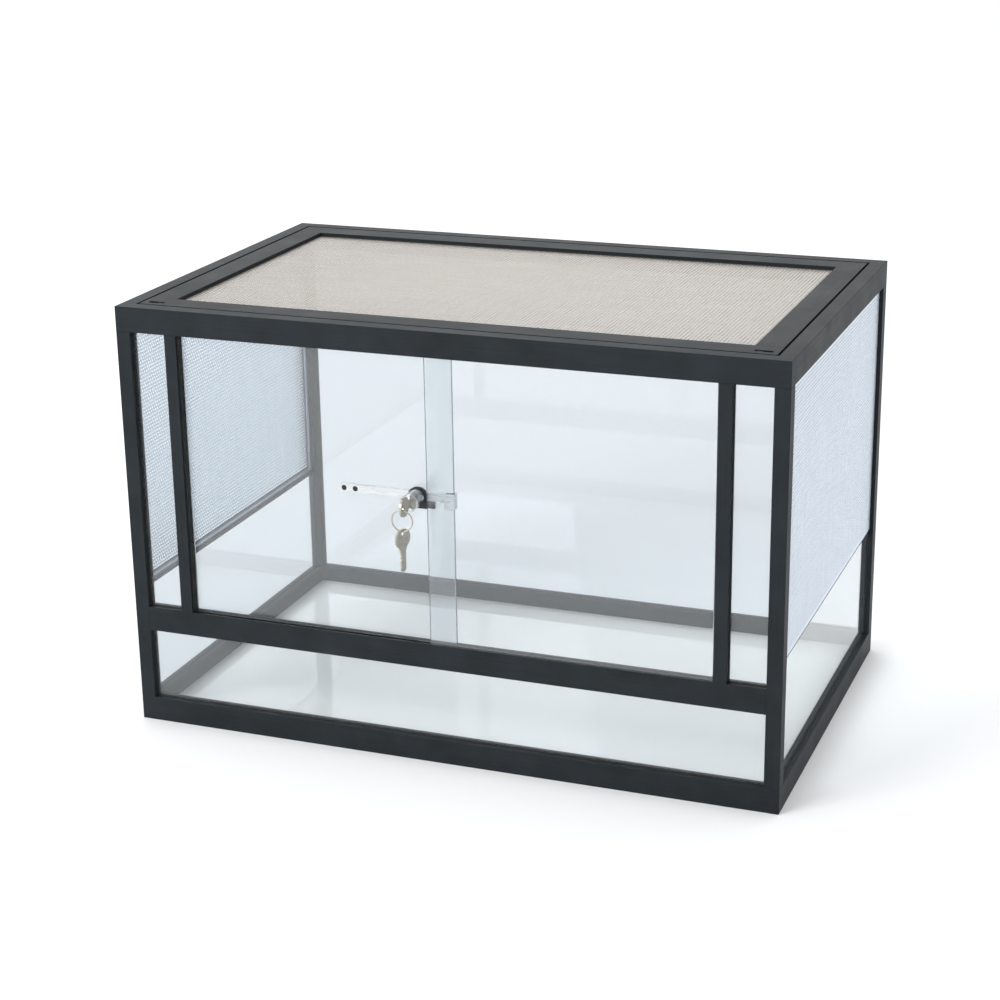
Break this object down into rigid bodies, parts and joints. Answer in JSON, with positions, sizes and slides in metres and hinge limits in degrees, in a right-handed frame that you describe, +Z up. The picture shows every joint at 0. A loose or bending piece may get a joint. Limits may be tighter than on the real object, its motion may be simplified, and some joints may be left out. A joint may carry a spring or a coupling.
{
  "type": "hamster cage",
  "caption": "Black aluminium-framed glass hamster enclosure with sliding glass doors, a showcase ratchet lock with keys, perforated side vents and a lift-off perforated lid.",
  "frame": {"origin": "middle of the enclosure's footprint, on the surface that the bottom rails stand on", "axes": "+X along the width, to the right seen from the front; +Y to the back; +Z up"},
  "size_m": [0.8, 0.5522, 0.52],
  "materials": {
    "black_aluminium": "satin black anodised",
    "clear_glass": "clear float glass",
    "black_rubber": "matte",
    "black_plastic": "matte",
    "vent_aluminium": "perforated, satin",
    "lock_chrome": "polished",
    "bright_steel": "bright zinc",
    "key_steel": "nickel plated"
  },
  "bodies": {
    "frame": {"post_front_left": "black_aluminium", "post_front_right": "black_aluminium", "post_back_left": "black_aluminium", "post_back_right": "black_aluminium", "bottom_rail_front": "black_aluminium", "bottom_rail_back": "black_aluminium", "bottom_rail_left": "black_aluminium", "bottom_rail_right": "black_aluminium", "top_rail_front": "black_aluminium", "top_rail_back": "black_aluminium", "top_rail_left": "black_aluminium", "top_rail_right": "black_aluminium", "front_mid_rail": "black_aluminium", "inner_post_left": "black_aluminium", "inner_post_right": "black_aluminium", "lower_corner_connectors": "black_plastic", "upper_corner_connectors": "black_plastic", "corner_screws": "bright_steel", "front_frame_plugs": "black_plastic", "back_glass": "clear_glass", "back_gasket": "black_rubber", "front_lower_glass": "clear_glass", "front_lower_gasket": "black_rubber", "narrow_pane_left": "clear_glass", "narrow_pane_right": "clear_glass", "narrow_pane_gaskets": "black_rubber", "pane_inserts": "black_plastic", "side_glass_left": "clear_glass", "side_glass_right": "clear_glass", "vent_panel_left": "vent_aluminium", "vent_panel_right": "vent_aluminium", "divider_strip_left": "vent_aluminium", "divider_strip_right": "vent_aluminium", "side_gaskets": "black_rubber", "bottom_glass_seal": "black_rubber", "bottom_glass": "clear_glass", "lower_door_track": "black_plastic", "upper_door_track": "black_plastic", "door_bumpers": "black_rubber", "lid_seat_seal": "black_rubber"},
    "lid": {"lid_rail_front": "black_aluminium", "lid_rail_back": "black_aluminium", "lid_rail_left": "black_aluminium", "lid_rail_right": "black_aluminium", "lid_corner_plugs": "black_plastic", "lid_vent_sheet": "vent_aluminium", "lid_sheet_gasket": "black_rubber", "catch_housings": "black_plastic"},
    "lid_catch_left": {"lid_catch_left": "black_plastic"},
    "lid_catch_right": {"lid_catch_right": "black_plastic"},
    "left_door": {"left_door_glass": "clear_glass", "ratchet_bar": "bright_steel", "bar_rubbers": "black_rubber"},
    "right_door": {"right_door_glass": "clear_glass"},
    "lock": {"lock_body": "lock_chrome", "lock_buffer": "black_plastic"},
    "plug": {"lock_plug": "lock_chrome"},
    "key": {"door_key": "key_steel"},
    "key_ring": {"key_ring": "key_steel"},
    "spare_key": {"spare_key": "key_steel"}
  },
  "joints": [
    {"name": "lid_lift", "type": "slide", "parent": "frame", "child": "lid", "axis": [0, 0, 1], "range_m": [0, 0.06]},
    {"name": "lid_catch_left_slide", "type": "slide", "parent": "lid", "child": "lid_catch_left", "axis": [-1, 0, 0], "range_m": [0, 0.008]},
    {"name": "lid_catch_right_slide", "type": "slide", "parent": "lid", "child": "lid_catch_right", "axis": [1, 0, 0], "range_m": [0, 0.008]},
    {"name": "left_door_slide", "type": "slide", "parent": "frame", "child": "left_door", "axis": [1, 0, 0], "range_m": [0, 0.3]},
    {"name": "right_door_slide", "type": "slide", "parent": "frame", "child": "right_door", "axis": [1, 0, 0], "range_m": [-0.28, 0]},
    {"name": "lock_slide", "type": "slide", "parent": "right_door", "child": "lock", "axis": [-1, 0, 0], "range_m": [0, 0.11]},
    {"name": "plug_turn", "type": "hinge", "parent": "lock", "child": "plug", "pos_m": [-0.0268, -0.27, 0.326], "axis": [0, 1, 0], "range_deg": [0, 90]},
    {"name": "key_pull", "type": "slide", "parent": "plug", "child": "key", "axis": [0, -1, 0], "range_m": [0, 0.028]},
    {"name": "ring_swing", "type": "hinge", "parent": "key", "child": "key_ring", "pos_m": [-0.0268, -0.291, 0.3242], "axis": [1, 0, 0], "range_deg": [-50, 20]},
    {"name": "spare_key_swing", "type": "hinge", "parent": "key_ring", "child": "spare_key", "pos_m": [-0.0268, -0.291, 0.2992], "axis": [1, 0, 0], "range_deg": [-30, 15]}
  ]
}
